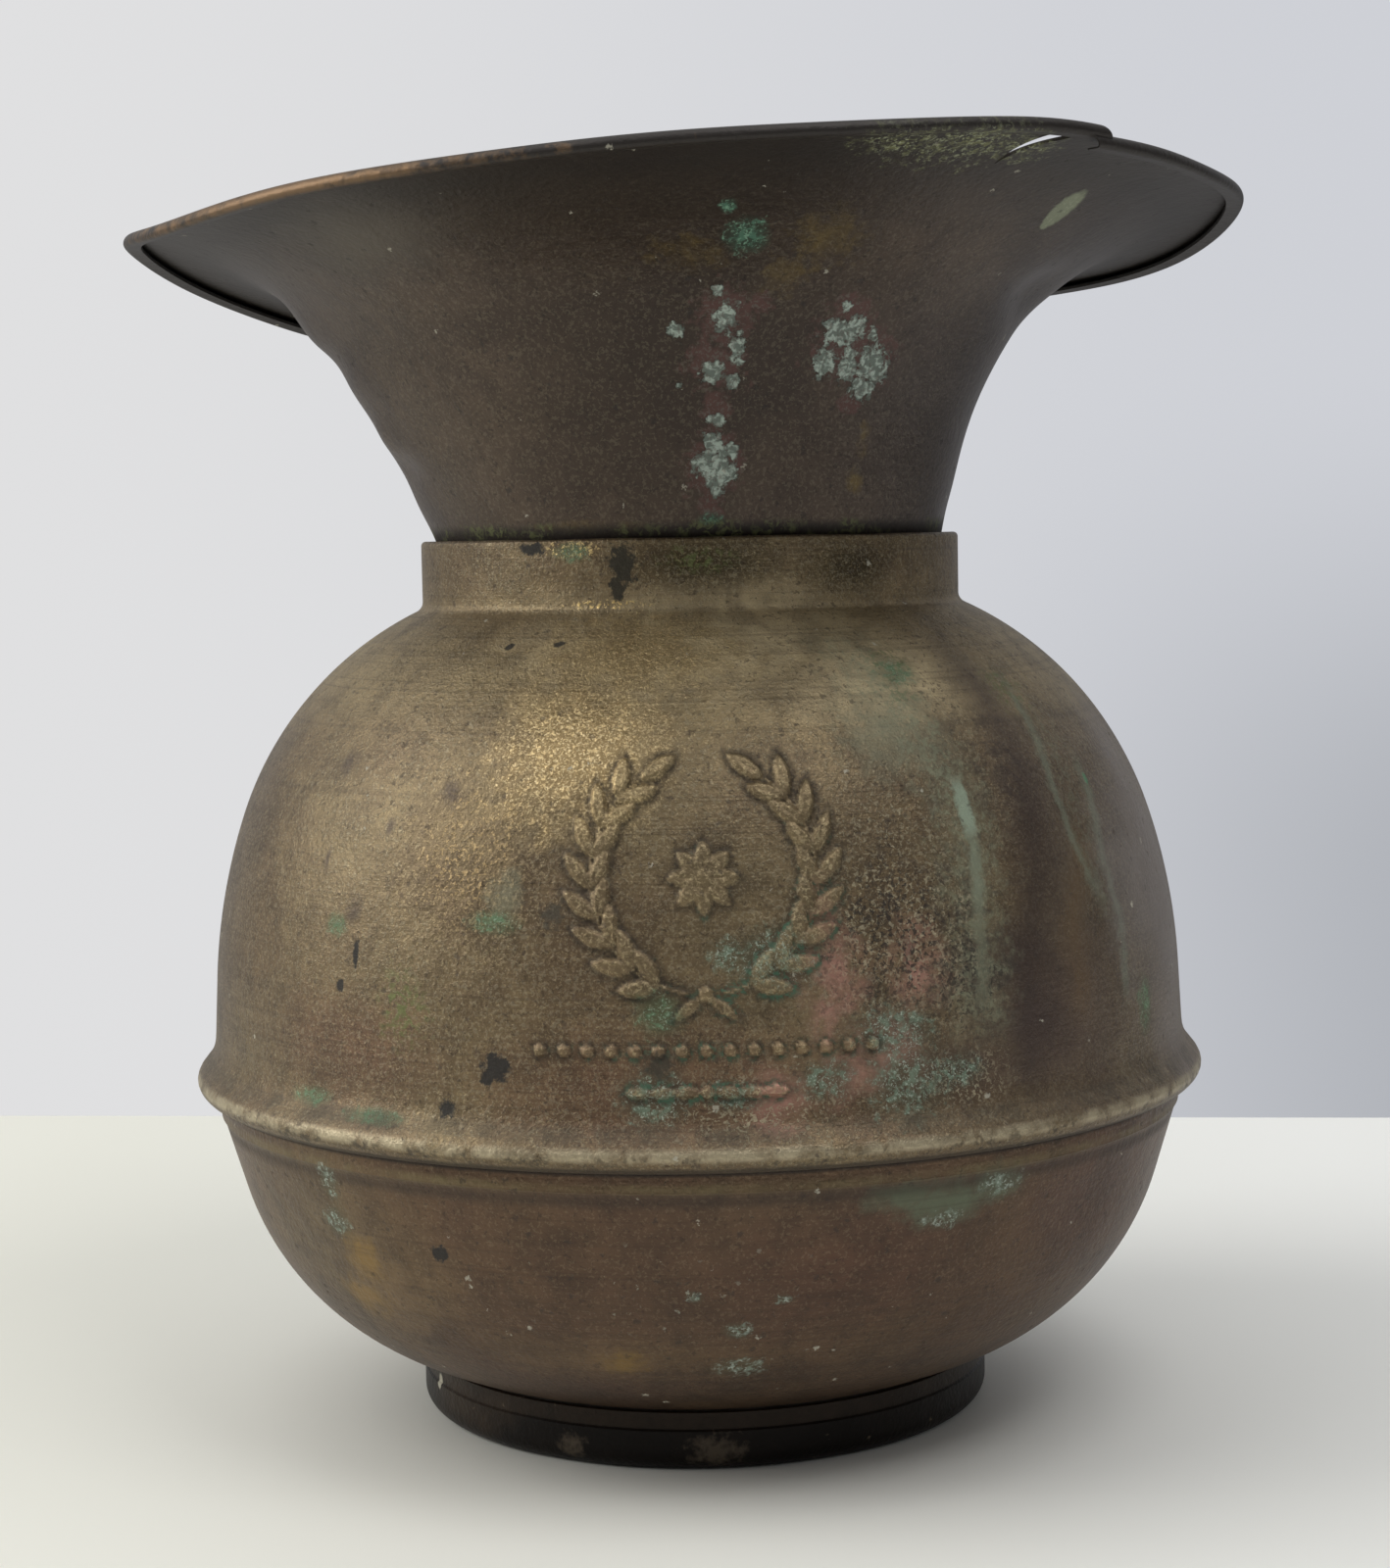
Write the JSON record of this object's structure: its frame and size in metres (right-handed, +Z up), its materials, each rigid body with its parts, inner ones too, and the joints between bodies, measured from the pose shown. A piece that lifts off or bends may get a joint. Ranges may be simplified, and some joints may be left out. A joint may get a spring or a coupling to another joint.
{
  "type": "spittoon",
  "caption": "Spun brass spittoon: round-bellied body on a foot ring, beaded seam, pressed wreath, and a loose flared funnel that lifts out.",
  "frame": {"origin": "on the floor, at the middle of the foot ring", "axes": "+Z up along the body's axis of spin; -Y towards the front, where the pressed wreath is; +X to the right seen from the front"},
  "size_m": [0.2464, 0.2456, 0.2708],
  "materials": {
    "body_brass": "aged, golden olive with verdigris",
    "bowl_brass": "aged, warm brown",
    "foot_brass": "aged, nearly black",
    "funnel_brass": "aged, dark brown with pale crusts",
    "solder": "dull grey soft solder"
  },
  "bodies": {
    "bowl": {"upper_shell": "body_brass", "lower_shell": "bowl_brass", "foot_ring": "foot_brass", "foot_solder": "solder", "seam_solder": "solder"},
    "funnel": {"funnel": "funnel_brass"}
  },
  "joints": [
    {"name": "funnel_lift", "type": "slide", "parent": "bowl", "child": "funnel", "axis": [0, 0, 1], "range_m": [0, 0.06]}
  ]
}
